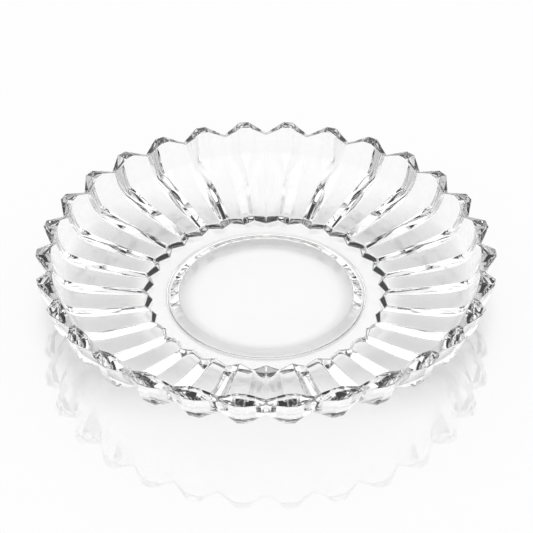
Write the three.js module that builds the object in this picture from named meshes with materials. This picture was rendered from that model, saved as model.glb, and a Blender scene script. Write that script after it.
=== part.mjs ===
// A crystal serving plate, pressed in one piece from clear glass: a flat round floor, a flaring wall with
// V-shaped ribs on its underside, a zigzag rim with one point on every rib, and a foot with a zigzag edge that
// stands on a plain ring.

import * as THREE from "three";

// Sizes in millimetres and degrees. Heights are above the table, radii are from the plate's axis.
const RIBS = 30;
const PLATE_RADIUS = 160; // out to the rim's points
const PLATE_HEIGHT = 47.2; // up to the rim's points
const NOTCH_DEPTH = 5.6; // from the points down to the notches between them
const RIM_TILT = 10; // outward fall of the rim's top face
const RIM_SLOPE = 76; // steepness of the wall where it reaches the rim
const RIM_REACH = 26; // how far the wall keeps that steepness on its way down
const FLOOR_RADIUS = 60; // flat part of the dish
const FLOOR_HEIGHT = 14.8;
const FLOOR_EASE = 14; // width of the soft bend from the floor to the wall
const FLARE_SLOPE = 5; // of the wall where it leaves that bend
const FLARE_REACH = 69; // how far the wall stays low on its way out
const WALL = 4.6; // thickness of glass in the valleys between the ribs
const RIB_DEPTH_AT_RIM = 6.6; // of a ridge over its valleys
const RIB_DEPTH_AT_FOOT = 3.6;
const RIDGE_FLAT_AT_RIM = 7; // width of a ridge's blunt edge
const RIDGE_FLAT_AT_FOOT = 0.3;
const RIDGE_FLAT_GROWTH = 9; // power by which that width grows outward, so that most of it comes at the rim
const FOOT_RADIUS_AT_VALLEY = 80.6; // flat underside of the foot, whose edge the ribs cut to a zigzag
const FOOT_RADIUS_AT_RIDGE = 84.9;
const FOOT_HEIGHT = 1.5; // of that underside above the table
const FOOT_SLOPE = 74; // of the facets that climb from that edge to the ribs
const RING_RADIUS_AT_FOOT = 70.8; // standing ring, where it leaves the foot's underside
const RING_RADIUS_OUTSIDE = 69.6; // edges of its face on the table
const RING_RADIUS_INSIDE = 68.4;
const RECESS_RADIUS = 61.2; // flat ceiling of the hollow under the floor, inside the ring
const RECESS_HEIGHT = 5;

// How finely the curves are stepped
const FACE_STEPS = 22;
const UNDERSIDE_STEPS = 18;

const HALF_PITCH = Math.PI / RIBS;
const FOOT_RISE = Math.tan(THREE.MathUtils.degToRad(FOOT_SLOPE));

// Upper face of the plate, from the axis over the floor and up the wall to the rim's points
const rimAngle = THREE.MathUtils.degToRad(RIM_SLOPE);
const tiltAngle = THREE.MathUtils.degToRad(RIM_TILT);
const pointWidth = (WALL + RIB_DEPTH_AT_RIM) * Math.cos(tiltAngle) / Math.sin(rimAngle + tiltAngle);
const rimRadius = PLATE_RADIUS - pointWidth;
const flareRise = Math.tan(THREE.MathUtils.degToRad(FLARE_SLOPE));
const flareRadius = FLOOR_RADIUS + FLOOR_EASE;
const flareHeight = FLOOR_HEIGHT + flareRise * FLOOR_EASE / 2;
const upperFace = new THREE.Path();
upperFace.moveTo(0, FLOOR_HEIGHT);
upperFace.lineTo(FLOOR_RADIUS, FLOOR_HEIGHT);
upperFace.quadraticCurveTo(FLOOR_RADIUS + FLOOR_EASE / 2, FLOOR_HEIGHT, flareRadius, flareHeight);
upperFace.bezierCurveTo(
  flareRadius + FLARE_REACH, flareHeight + flareRise * FLARE_REACH,
  rimRadius - RIM_REACH * Math.cos(rimAngle), PLATE_HEIGHT - RIM_REACH * Math.sin(rimAngle),
  rimRadius, PLATE_HEIGHT,
);
const floorShare = FLOOR_RADIUS / upperFace.getLength();

const valley = { depthAtFoot: 0, depthAtRim: 0, footRadius: FOOT_RADIUS_AT_VALLEY };
const ridge = {
  depthAtFoot: RIB_DEPTH_AT_FOOT,
  depthAtRim: RIB_DEPTH_AT_RIM,
  footRadius: FOOT_RADIUS_AT_RIDGE,
};

// The place between low and high where a falling function crosses zero
function crossing(fall, low, high) {
  const middle = (low + high) / 2;
  if (high - low < 1e-9) {
    return middle;
  }
  return fall(middle) > 0 ? crossing(fall, middle, high) : crossing(fall, low, middle);
}

// How far a radius lies from the foot's edge to the rim, from 0 to 1
function outward(radius) {
  return THREE.MathUtils.clamp((radius - FOOT_RADIUS_AT_RIDGE) / (rimRadius - FOOT_RADIUS_AT_RIDGE), 0, 1);
}

// Thickness of the glass under a point of the upper face
function thicknessAt(radius, line) {
  return WALL + THREE.MathUtils.lerp(line.depthAtFoot, line.depthAtRim, outward(radius));
}

// Point of the underside straight across the glass from a share of the upper face's length
function underside(share, line) {
  const point = upperFace.getPoint(share);
  const along = upperFace.getTangent(share);
  const thickness = thicknessAt(point.x, line);
  return new THREE.Vector2(point.x + along.y * thickness, point.y - along.x * thickness);
}

// Share of the upper face where the wall is this high
function shareAtHeight(height) {
  return crossing((share) => height - upperFace.getPoint(share).y, floorShare, 1);
}

// Share of the underside where the facets of the foot's edge meet the ribs
function shareAtFoot(line) {
  const aboveFacet = (share) => {
    const point = underside(share, line);
    return point.y - FOOT_HEIGHT - FOOT_RISE * (point.x - line.footRadius);
  };
  return crossing(aboveFacet, 0, 1);
}

// Outer edge of the rim's top face, found by carrying the wall on past the rim's inner edge
function rimOuterEdge(share, line) {
  const along = upperFace.getTangent(share);
  const thickness = thicknessAt(upperFace.getPoint(share).x, line);
  const slope = Math.atan2(along.y, along.x);
  return underside(share, line).addScaledVector(along, thickness / Math.tan(slope + tiltAngle));
}

// Points from one share of a line to another, both ends included
function steps(count, from, to, pointAt) {
  return Array.from({ length: count + 1 }, (_, i) => pointAt(from + (to - from) * i / count));
}

// Section through the glass along a valley or a ridge, from the middle of the floor over the rim and
// back underneath to the axis
function section(line) {
  const rimShare = line === ridge ? 1 : shareAtHeight(PLATE_HEIGHT - NOTCH_DEPTH);
  const ribs = steps(UNDERSIDE_STEPS, rimShare, shareAtFoot(line), (share) => underside(share, line));
  return [
    new THREE.Vector2(0, FLOOR_HEIGHT),
    ...steps(FACE_STEPS, floorShare, rimShare, (share) => upperFace.getPoint(share)),
    rimOuterEdge(rimShare, line),
    ...ribs.slice(1),
    new THREE.Vector2(line.footRadius, FOOT_HEIGHT),
    new THREE.Vector2(RING_RADIUS_AT_FOOT, FOOT_HEIGHT),
    new THREE.Vector2(RING_RADIUS_OUTSIDE, 0),
    new THREE.Vector2(RING_RADIUS_INSIDE, 0),
    new THREE.Vector2(RECESS_RADIUS, RECESS_HEIGHT),
    new THREE.Vector2(0, RECESS_HEIGHT),
  ];
}

// Half the angle that a ridge's blunt edge takes up at this radius
function ridgeHalfAngle(radius) {
  const share = outward(radius) ** RIDGE_FLAT_GROWTH;
  const flat = THREE.MathUtils.lerp(RIDGE_FLAT_AT_FOOT, RIDGE_FLAT_AT_RIM, share);
  return Math.asin(flat / 2 / Math.max(radius, FOOT_RADIUS_AT_RIDGE));
}

// Closed skin over sections that stand round the axis and share their first and last points
function skin(sections) {
  const rows = sections[0].length - 2;
  const floorCentre = sections.length * rows;
  const recessCentre = floorCentre + 1;
  const vertices = sections.flatMap((points) => points.slice(1, -1));
  vertices.push(sections[0][0], sections[0][rows + 1]);
  const index = [];
  sections.forEach((_, i) => {
    const here = i * rows;
    const next = ((i + 1) % sections.length) * rows;
    index.push(floorCentre, here, next);
    for (let row = 0; row < rows - 1; row += 1) {
      index.push(here + row, here + row + 1, next + row + 1);
      index.push(here + row, next + row + 1, next + row);
    }
    index.push(here + rows - 1, recessCentre, next + rows - 1);
  });
  const geometry = new THREE.BufferGeometry().setFromPoints(vertices);
  geometry.setIndex(index);
  geometry.computeVertexNormals();
  return geometry;
}

// The whole plate: for every rib a section along its valley and one on either side of its blunt ridge
function plateGeometry() {
  const valleySection = section(valley);
  const ridgeSection = section(ridge);
  const turned = (point, angle) => new THREE.Vector3(
    point.x * Math.cos(angle), point.x * Math.sin(angle), point.y,
  );
  const sections = [];
  for (let rib = 0; rib < RIBS; rib += 1) {
    const centre = rib * 2 * HALF_PITCH;
    sections.push(valleySection.map((point) => turned(point, centre - HALF_PITCH)));
    sections.push(ridgeSection.map((point) => turned(point, centre - ridgeHalfAngle(point.x))));
    sections.push(ridgeSection.map((point) => turned(point, centre + ridgeHalfAngle(point.x))));
  }
  return skin(sections);
}

const glass = new THREE.MeshStandardMaterial({
  color: 0xf2f6f7,
  roughness: 0.03,
  metalness: 0,
  transparent: true,
  opacity: 0.35,
});

const plate = new THREE.Mesh(plateGeometry(), glass);
plate.name = "serving_plate";

const model = new THREE.Group();
model.add(plate);

export default model;
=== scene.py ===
import math

import bpy
import numpy as np
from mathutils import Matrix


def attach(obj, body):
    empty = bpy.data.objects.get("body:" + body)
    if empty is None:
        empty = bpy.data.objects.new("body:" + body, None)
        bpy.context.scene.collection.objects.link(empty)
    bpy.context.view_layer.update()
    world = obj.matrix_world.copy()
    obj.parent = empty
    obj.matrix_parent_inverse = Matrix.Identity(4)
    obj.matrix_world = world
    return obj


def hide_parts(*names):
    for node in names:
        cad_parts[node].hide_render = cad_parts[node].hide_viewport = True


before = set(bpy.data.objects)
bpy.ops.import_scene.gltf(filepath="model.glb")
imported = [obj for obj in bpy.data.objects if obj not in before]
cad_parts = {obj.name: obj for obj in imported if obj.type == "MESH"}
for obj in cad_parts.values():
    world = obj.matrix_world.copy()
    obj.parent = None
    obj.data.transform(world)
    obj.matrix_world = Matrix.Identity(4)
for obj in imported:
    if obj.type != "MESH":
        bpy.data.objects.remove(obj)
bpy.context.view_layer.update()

# Sizes of the plate in millimetres and radians, the same as in the part's source
RIBS = 30
PLATE_RADIUS = 160
PLATE_HEIGHT = 47.2
NOTCH_DEPTH = 5.6
RIM_TILT = math.radians(10)
RIM_SLOPE = math.radians(76)
RIM_REACH = 26
FLOOR_RADIUS = 60
FLOOR_HEIGHT = 14.8
FLOOR_EASE = 14
FLARE_RISE = math.tan(math.radians(5))
FLARE_REACH = 69
WALL = 4.6
RIB_DEPTH_AT_RIM = 6.6
RIB_DEPTH_AT_FOOT = 3.6
RIDGE_FLAT_AT_RIM = 7
RIDGE_FLAT_AT_FOOT = 0.3
RIDGE_FLAT_GROWTH = 9
FOOT_RADIUS_AT_VALLEY = 80.6
FOOT_RADIUS_AT_RIDGE = 84.9
FOOT_HEIGHT = 1.5
FOOT_RISE = math.tan(math.radians(74))
RING_RADIUS_AT_FOOT = 70.8
RING_RADIUS_OUTSIDE = 69.6
RING_RADIUS_INSIDE = 68.4
RECESS_RADIUS = 61.2
RECESS_HEIGHT = 5

# How far each fire-polished edge is rounded back from its sharp line, and by how many points
ROUND_RIM_INSIDE = (0.9, 6)
ROUND_RIM_OUTSIDE = (1.0, 7)
ROUND_FOOT_TOP = (0.8, 5)
ROUND_FOOT_EDGE = (0.8, 5)
ROUND_RING_TOP = (0.4, 6)
ROUND_RING_FACE = (0.54, 6)
ROUND_RECESS = (1.0, 8)
ROUND_RIDGE = (0.35, 5)
ROUND_VALLEY = (0.4, 5)
LONGEST_ROUND = 0.45  # share of the shorter side that a rounding may take up

# How finely the skin is stepped
CURVE_SAMPLES = 4000
FLOOR_STEPS = 11
FACE_STEPS = 60
LIP_STEPS = 8
RIM_STEPS = 6
RIB_STEPS = 70
FACET_STEPS = 6
RING_STEPS = 2
RECESS_STEPS = 6
FLANK_STEPS = 9

# Where the softened edges take over from the skin beside them, in millimetres and in steps down a rib
LIP_BELOW_NOTCH = 2.5
FACE_BELOW_RIM = 2
FLAT_INSIDE_FOOT = 5
FLAT_OUTSIDE_RING = 4
RIB_STEPS_AT_RIM = 3
RIB_STEPS_AT_FOOT = 2
RIM_FACE_ROW = 8  # row on the rim's top face, whose bearings the dish and the hollow follow

REFRACTIVE_INDEX = 1.52

# Lights, as where each starts and ends fading in along its direction and its full strength
BACK_LIGHT = (0.25, 0.5, 1.2)
TOP_LIGHT = (0.35, 0.95, 1.4)
ROOM_LIGHT = 0.6

# Floor in metres, with the share of its white glow by distance from the axis, kept low under the plate's
# wall and at its standing ring as painted shade, and in front and behind by where that starts and ends
# fading in and its full share
FLOOR_SIZE = 30
FLOOR_DROP = 0.0002
FLOOR_COLOUR = (0.9, 0.9, 0.9, 1)
FLOOR_ROUGHNESS = 0.5
# the low glow under the wall (0.1 to 0.145) and the dip at the standing ring (0.06 to 0.067) are painted
# shade
FLOOR_GLOW_AND_PAINTED_SHADE = (
    (0, 0.84), (0.05, 0.82), (0.06, 0.3), (0.067, 0.3), (0.073, 0.8),
    (0.083, 0.8), (0.1, 0.08), (0.145, 0.08), (0.168, 0.82), (1, 0.82),
)
# glow that fades in at the front and back, lightening the painted shade there
ENDS_GLOW_LIFTING_PAINTED_SHADE = (0.06, 0.13, 0.82)
POLISH_SHARE = 0.2
POLISH_ROUGHNESS = 0

# Camera at the photo's angle, and how often light is followed through the glass
CAMERA_PLACE = (0, -1.12656, 0.92802)
CAMERA_TILT = math.radians(51.52)
CAMERA_SENSOR = 36
CAMERA_LENS = 139.3
CAMERA_SHIFT = 0.00075
CAMERA_FAR_END = 100
BOUNCES = 8

MM = 0.001
HALF_PITCH = math.pi / RIBS
POINT_WIDTH = (WALL + RIB_DEPTH_AT_RIM) * math.cos(RIM_TILT) / math.sin(RIM_SLOPE + RIM_TILT)
RIM_RADIUS = PLATE_RADIUS - POINT_WIDTH


def bezier(points, count):
    """Points along a Bezier curve with two, three or four control points."""
    t = np.linspace(0, 1, count + 1)[:, None]
    rows = [np.array(p, float) + 0 * t for p in points]
    while len(rows) > 1:
        rows = [a + (b - a) * t for a, b in zip(rows, rows[1:])]
    return rows[0]


def upper_face():
    """The upper face's section, from the axis over the floor and up the wall to the rim's points."""
    centre, edge = (0, FLOOR_HEIGHT), (FLOOR_RADIUS, FLOOR_HEIGHT)
    bend = (FLOOR_RADIUS + FLOOR_EASE / 2, FLOOR_HEIGHT)
    flare = np.array((FLOOR_RADIUS + FLOOR_EASE, FLOOR_HEIGHT + FLARE_RISE * FLOOR_EASE / 2))
    rim = np.array((RIM_RADIUS, PLATE_HEIGHT))
    low = flare + FLARE_REACH * np.array((1, FLARE_RISE))
    steep = rim - RIM_REACH * np.array((math.cos(RIM_SLOPE), math.sin(RIM_SLOPE)))
    floor = bezier([centre, edge], CURVE_SAMPLES)
    ease = bezier([edge, bend, flare], CURVE_SAMPLES)
    wall = bezier([flare, low, steep, rim], CURVE_SAMPLES)
    return np.concatenate([floor, ease[1:], wall[1:]])


FACE = upper_face()
FACE_LENGTH = np.concatenate([[0], np.cumsum(np.linalg.norm(np.diff(FACE, axis=0), axis=1))])
FACE_ALONG = np.gradient(FACE, FACE_LENGTH, axis=0)


def along(values, length):
    """A value of the upper face's section, at a length along it from the axis."""
    return np.stack([np.interp(length, FACE_LENGTH, values[:, i]) for i in (0, 1)], -1)


def outward(radius):
    """How far a radius lies from the foot's edge to the rim, from 0 to 1."""
    return np.clip((radius - FOOT_RADIUS_AT_RIDGE) / (RIM_RADIUS - FOOT_RADIUS_AT_RIDGE), 0, 1)


def thickness(radius, ridge):
    """Thickness of the glass on a ridge or in a valley."""
    depth = RIB_DEPTH_AT_FOOT + (RIB_DEPTH_AT_RIM - RIB_DEPTH_AT_FOOT) * outward(radius)
    return WALL + depth * ridge


def underside(length, ridge):
    """The section's underside, straight across the glass from a length along the upper face."""
    point, way = along(FACE, length), along(FACE_ALONG, length)
    return point + thickness(point[..., :1], ridge) * np.stack([way[..., 1], -way[..., 0]], -1)


def crossing(fall, low, high):
    """Where a falling function crosses zero."""
    while high - low > 1e-9:
        middle = (low + high) / 2
        low, high = (middle, high) if fall(middle) > 0 else (low, middle)
    return low


def rounded(before, corner, after, reach, count):
    """Points that round a corner off, starting and ending at a reach from it."""
    back, on = before - corner, after - corner
    back_length = np.linalg.norm(back, axis=-1, keepdims=True)
    on_length = np.linalg.norm(on, axis=-1, keepdims=True)
    reach = np.minimum(reach, LONGEST_ROUND * np.minimum(back_length, on_length))
    start, end = corner + back / back_length * reach, corner + on / on_length * reach
    return [
        (1 - t) ** 2 * start + 2 * t * (1 - t) * corner + t * t * end
        for t in np.linspace(0, 1, count)
    ]


def between(a, b, count):
    """Points on the straight line from a to b, without its ends."""
    return [a + (b - a) * (i + 1) / (count + 1) for i in range(count)]


def below_notch(length):
    """How far the upper face lies below the rim's notches."""
    return PLATE_HEIGHT - NOTCH_DEPTH - along(FACE, length)[1]


NOTCH_LENGTH = crossing(below_notch, FLOOR_RADIUS, FACE_LENGTH[-1])


def rib_section(ridge):
    """From the rim's inner edge over the rim, down the wall's underside and the foot's facet."""
    top = FACE_LENGTH[-1] if ridge else NOTCH_LENGTH
    foot = np.array((FOOT_RADIUS_AT_RIDGE if ridge else FOOT_RADIUS_AT_VALLEY, FOOT_HEIGHT))

    def above_facet(length):
        point = underside(length, ridge)
        return point[1] - FOOT_HEIGHT - FOOT_RISE * (point[0] - foot[0])

    inner, way = along(FACE, top), along(FACE_ALONG, top)
    slope = math.atan2(way[1], way[0])
    outer = underside(top, ridge) + way * thickness(inner[0], ridge) / math.tan(slope + RIM_TILT)
    bottom = crossing(above_facet, 0, FACE_LENGTH[-1])
    wall = underside(np.linspace(top, bottom, RIB_STEPS + 1), ridge)
    rim_inside = rounded(along(FACE, top - FACE_BELOW_RIM), inner, outer, *ROUND_RIM_INSIDE)
    rim_outside = rounded(inner, outer, wall[RIB_STEPS_AT_RIM], *ROUND_RIM_OUTSIDE)
    foot_top = rounded(wall[-1 - RIB_STEPS_AT_FOOT], wall[-1], foot, *ROUND_FOOT_TOP)
    foot_edge = rounded(wall[-1], foot, foot - (FLAT_INSIDE_FOOT, 0), *ROUND_FOOT_EDGE)
    return np.array([
        *rim_inside, *between(rim_inside[-1], rim_outside[0], RIM_STEPS), *rim_outside,
        *wall[RIB_STEPS_AT_RIM + 1:-RIB_STEPS_AT_FOOT],
        *foot_top, *between(foot_top[-1], foot_edge[0], FACET_STEPS), *foot_edge,
    ])


def turned(section, angle):
    """A section of radii and heights, stood up at an angle or at one for each of its points."""
    radius, height = section[..., 0], section[..., 1]
    return np.stack([radius * np.cos(angle), radius * np.sin(angle), height], -1)


def ribbed_skin():
    """One rib from valley to valley, as stations across it, each from the rim's inner edge to the foot."""
    valley, ridge = rib_section(0), rib_section(1)
    growth = outward(ridge[:, 0]) ** RIDGE_FLAT_GROWTH
    flat = RIDGE_FLAT_AT_FOOT + (RIDGE_FLAT_AT_RIM - RIDGE_FLAT_AT_FOOT) * growth
    half_flat = np.arcsin(flat / 2 / ridge[:, 0])
    valley_left, valley_right = turned(valley, -HALF_PITCH), turned(valley, HALF_PITCH)
    ridge_left, ridge_right = turned(ridge, -half_flat), turned(ridge, half_flat)
    rib_before = turned(ridge, half_flat - 2 * HALF_PITCH)
    rib_after = turned(ridge, 2 * HALF_PITCH - half_flat)
    start = rounded(rib_before, valley_left, ridge_left, *ROUND_VALLEY)
    end = rounded(ridge_right, valley_right, rib_after, *ROUND_VALLEY)
    left = rounded(valley_left, ridge_left, ridge_right, *ROUND_RIDGE)
    right = rounded(ridge_left, ridge_right, valley_right, *ROUND_RIDGE)
    middle = ROUND_VALLEY[1] // 2
    return np.array([
        *start[middle:], *between(start[-1], left[0], FLANK_STEPS),
        *left, *between(left[-1], right[0], 1), *right,
        *between(right[-1], end[0], FLANK_STEPS), *end[:middle],
    ])


def recess_section():
    """Underside from the foot's flat inward over the standing ring and the hollow's ceiling to the axis."""
    flat = np.array((RING_RADIUS_AT_FOOT + FLAT_OUTSIDE_RING, FOOT_HEIGHT))
    top = np.array((RING_RADIUS_AT_FOOT, FOOT_HEIGHT))
    outside, inside = np.array((RING_RADIUS_OUTSIDE, 0.0)), np.array((RING_RADIUS_INSIDE, 0.0))
    ceiling, centre = np.array((RECESS_RADIUS, RECESS_HEIGHT)), np.array((0.0, RECESS_HEIGHT))
    ring_top = rounded(flat, top, outside, *ROUND_RING_TOP)
    ring_outside = rounded(top, outside, inside, *ROUND_RING_FACE)
    ring_inside = rounded(outside, inside, ceiling, *ROUND_RING_FACE)
    recess = rounded(inside, ceiling, centre, *ROUND_RECESS)
    return np.array([
        flat, *ring_top, *between(ring_top[-1], ring_outside[0], RING_STEPS), *ring_outside,
        *ring_inside, *between(ring_inside[-1], recess[0], RECESS_STEPS), *recess,
        *between(recess[-1], centre, FLOOR_STEPS), centre,
    ])


def whole_rib():
    """One rib's stations, each from the middle of the floor over the rim and underneath to the axis."""
    ribbed = ribbed_skin()
    bearings = np.arctan2(ribbed[:, RIM_FACE_ROW, 1], ribbed[:, RIM_FACE_ROW, 0])
    lip_start = NOTCH_LENGTH - LIP_BELOW_NOTCH
    face_lengths = np.concatenate([
        np.linspace(0, FLOOR_RADIUS, FLOOR_STEPS, endpoint=False),
        np.linspace(FLOOR_RADIUS, lip_start, FACE_STEPS),
    ])
    face, recess = along(FACE, face_lengths), recess_section()
    rising = FACE_LENGTH > FLOOR_RADIUS
    rib = []
    for station, bearing in zip(ribbed, bearings):
        lip_end = np.interp(station[0, 2], FACE[rising, 1], FACE_LENGTH[rising])
        lip = along(FACE, np.linspace(lip_start, lip_end, LIP_STEPS + 1)[1:])
        dish = turned(np.concatenate([face, lip]), bearing)
        rib.append(np.concatenate([dish, station[1:], turned(recess, bearing)]))
    return np.array(rib)


def plate_mesh():
    """The whole plate as one closed skin of stations that stand round the axis."""
    rib, ribs = whole_rib(), []
    for angle in 2 * HALF_PITCH * np.arange(RIBS):
        cos, sin = math.cos(angle), math.sin(angle)
        ribs.append(rib @ np.array(((cos, sin, 0), (-sin, cos, 0), (0, 0, 1))))
    stations = np.concatenate(ribs)
    count, rows = len(stations), stations.shape[1] - 2
    here = np.arange(count)
    ahead = (here + 1) % count
    row = np.arange(rows - 1)
    a, b = here[:, None] * rows + row, ahead[:, None] * rows + row
    quads = np.stack([a, a + 1, b + 1, b], -1).reshape(-1, 4)
    floor_centre, recess_centre = count * rows, count * rows + 1
    last = rows - 1
    floor = [(floor_centre, i * rows, j * rows) for i, j in zip(here, ahead)]
    recess = [(i * rows + last, recess_centre, j * rows + last) for i, j in zip(here, ahead)]
    skin = stations[:, 1:-1].reshape(-1, 3)
    vertices = np.concatenate([skin, stations[:1, 0], stations[:1, -1]]) * MM
    mesh = bpy.data.meshes.new("serving_plate_glass")
    mesh.from_pydata(vertices.tolist(), [], quads.tolist() + floor + recess)
    mesh.polygons.foreach_set("use_smooth", [True] * len(mesh.polygons))
    mesh.update()
    return mesh


def crystal():
    """Clear polished crystal."""
    material = bpy.data.materials.new("crystal")
    material.use_nodes = True
    shader = material.node_tree.nodes["Principled BSDF"]
    shader.inputs["Base Color"].default_value = (1, 1, 1, 1)
    shader.inputs["Roughness"].default_value = 0
    shader.inputs["IOR"].default_value = REFRACTIVE_INDEX
    shader.inputs["Transmission Weight"].default_value = 1
    return material


def combined(tree, operation, *sources):
    """The result of one operation on these values."""
    node = tree.nodes.new("ShaderNodeMath")
    node.operation = operation
    for source, socket in zip(sources, node.inputs):
        tree.links.new(source, socket)
    return node.outputs[0]


def fade(tree, source, start, end, level):
    """A value that fades in softly from a start to an end of its source, up to a level."""
    node = tree.nodes.new("ShaderNodeMapRange")
    node.interpolation_type = "SMOOTHSTEP"
    node.inputs["From Min"].default_value = start
    node.inputs["From Max"].default_value = end
    node.inputs["To Max"].default_value = level
    tree.links.new(source, node.inputs["Value"])
    return node.outputs[0]


def read_off(tree, source, points):
    """A value read off a curve through these points."""
    node = tree.nodes.new("ShaderNodeFloatCurve")
    curve = node.mapping.curves[0]
    for x, y in points[1:-1]:
        curve.points.new(x, y)
    for point, spot in zip(curve.points, points):
        point.location = spot
    node.mapping.update()
    tree.links.new(source, node.inputs["Value"])
    return node.outputs[0]


def mixed(tree, first, second):
    """A mix of two surfaces."""
    node = tree.nodes.new("ShaderNodeMixShader")
    tree.links.new(first.outputs[0], node.inputs[1])
    tree.links.new(second.outputs[0], node.inputs[2])
    return node


def floor_glow_and_painted_shade(tree):
    """How much the floor glows: by its place, kept low under the plate's wall and standing ring as painted
    shade, and only where it is seen directly or through the glass.
    """
    nodes, links = tree.nodes, tree.links
    rays = nodes.new("ShaderNodeLightPath").outputs
    direct = combined(tree, "MAXIMUM", rays["Is Camera Ray"], rays["Is Glossy Ray"])
    seen = combined(tree, "MAXIMUM", direct, rays["Is Transmission Ray"])
    place = nodes.new("ShaderNodeTexCoord").outputs["Object"]
    distance = nodes.new("ShaderNodeVectorMath")
    distance.operation = "LENGTH"
    axes = nodes.new("ShaderNodeSeparateXYZ")
    links.new(place, distance.inputs[0])
    links.new(place, axes.inputs[0])
    # glow by distance from the axis, dipping under the plate's wall and standing ring as painted shade
    glow_and_painted_shade_round_axis = read_off(tree, distance.outputs["Value"], FLOOR_GLOW_AND_PAINTED_SHADE)
    # glow in front and behind, which lightens the painted shade there
    glow_lifting_shade_at_ends = fade(tree, combined(tree, "ABSOLUTE", axes.outputs["Y"]), *ENDS_GLOW_LIFTING_PAINTED_SHADE)
    return combined(tree, "MULTIPLY", seen, combined(tree, "MAXIMUM", glow_and_painted_shade_round_axis, glow_lifting_shade_at_ends))


def floor_material():
    """White paint with a glow that leaves painted shade under the plate, under a thin polish, clear when
    seen from below.
    """
    material = bpy.data.materials.new("studio_floor")
    material.use_nodes = True
    tree = material.node_tree
    nodes, links = tree.nodes, tree.links
    paint = nodes["Principled BSDF"]
    paint.inputs["Base Color"].default_value = FLOOR_COLOUR
    paint.inputs["Roughness"].default_value = FLOOR_ROUGHNESS
    paint.inputs["Specular IOR Level"].default_value = 0
    glowing = mixed(tree, paint, nodes.new("ShaderNodeEmission"))
    links.new(floor_glow_and_painted_shade(tree), glowing.inputs["Fac"])
    polish = nodes.new("ShaderNodeBsdfGlossy")
    polish.inputs["Roughness"].default_value = POLISH_ROUGHNESS
    polished = mixed(tree, glowing, polish)
    polished.inputs["Fac"].default_value = POLISH_SHARE
    one_sided = mixed(tree, polished, nodes.new("ShaderNodeBsdfTransparent"))
    facing = nodes.new("ShaderNodeNewGeometry")
    links.new(facing.outputs["Backfacing"], one_sided.inputs["Fac"])
    links.new(one_sided.outputs[0], nodes["Material Output"].inputs["Surface"])
    return material


def studio_light():
    """A bright field behind the plate and a soft light overhead, with a dim room around them."""
    world = bpy.data.worlds.new("studio")
    world.use_nodes = True
    tree = world.node_tree
    nodes, links = tree.nodes, tree.links
    direction = nodes.new("ShaderNodeTexCoord")
    axes = nodes.new("ShaderNodeSeparateXYZ")
    room = nodes.new("ShaderNodeValue")
    room.outputs[0].default_value = ROOM_LIGHT
    links.new(direction.outputs["Generated"], axes.inputs[0])
    behind = fade(tree, axes.outputs["Y"], *BACK_LIGHT)
    overhead = fade(tree, axes.outputs["Z"], *TOP_LIGHT)
    lights = combined(tree, "MAXIMUM", behind, overhead)
    brightest = combined(tree, "MAXIMUM", lights, room.outputs[0])
    links.new(brightest, nodes["Background"].inputs["Color"])
    return world


scene = bpy.context.scene
collection = scene.collection

plate = bpy.data.objects.new("serving_plate_glass", plate_mesh())
plate.data.materials.append(crystal())
collection.objects.link(plate)
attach(plate, "root")
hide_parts("serving_plate")

bpy.ops.mesh.primitive_plane_add(size=FLOOR_SIZE, location=(0, 0, -FLOOR_DROP))
floor = bpy.context.object
floor.name = "studio_floor"
floor.data.materials.append(floor_material())

scene.world = studio_light()

camera = bpy.data.objects.new("camera", bpy.data.cameras.new("camera"))
camera.location = CAMERA_PLACE
camera.rotation_euler = (CAMERA_TILT, 0, 0)
camera.data.sensor_width = CAMERA_SENSOR
camera.data.lens = CAMERA_LENS
camera.data.shift_x = CAMERA_SHIFT
camera.data.clip_end = CAMERA_FAR_END
collection.objects.link(camera)
scene.camera = camera

scene.cycles.max_bounces = BOUNCES
scene.cycles.transmission_bounces = BOUNCES
scene.cycles.glossy_bounces = BOUNCES
scene.view_settings.view_transform = "Standard"
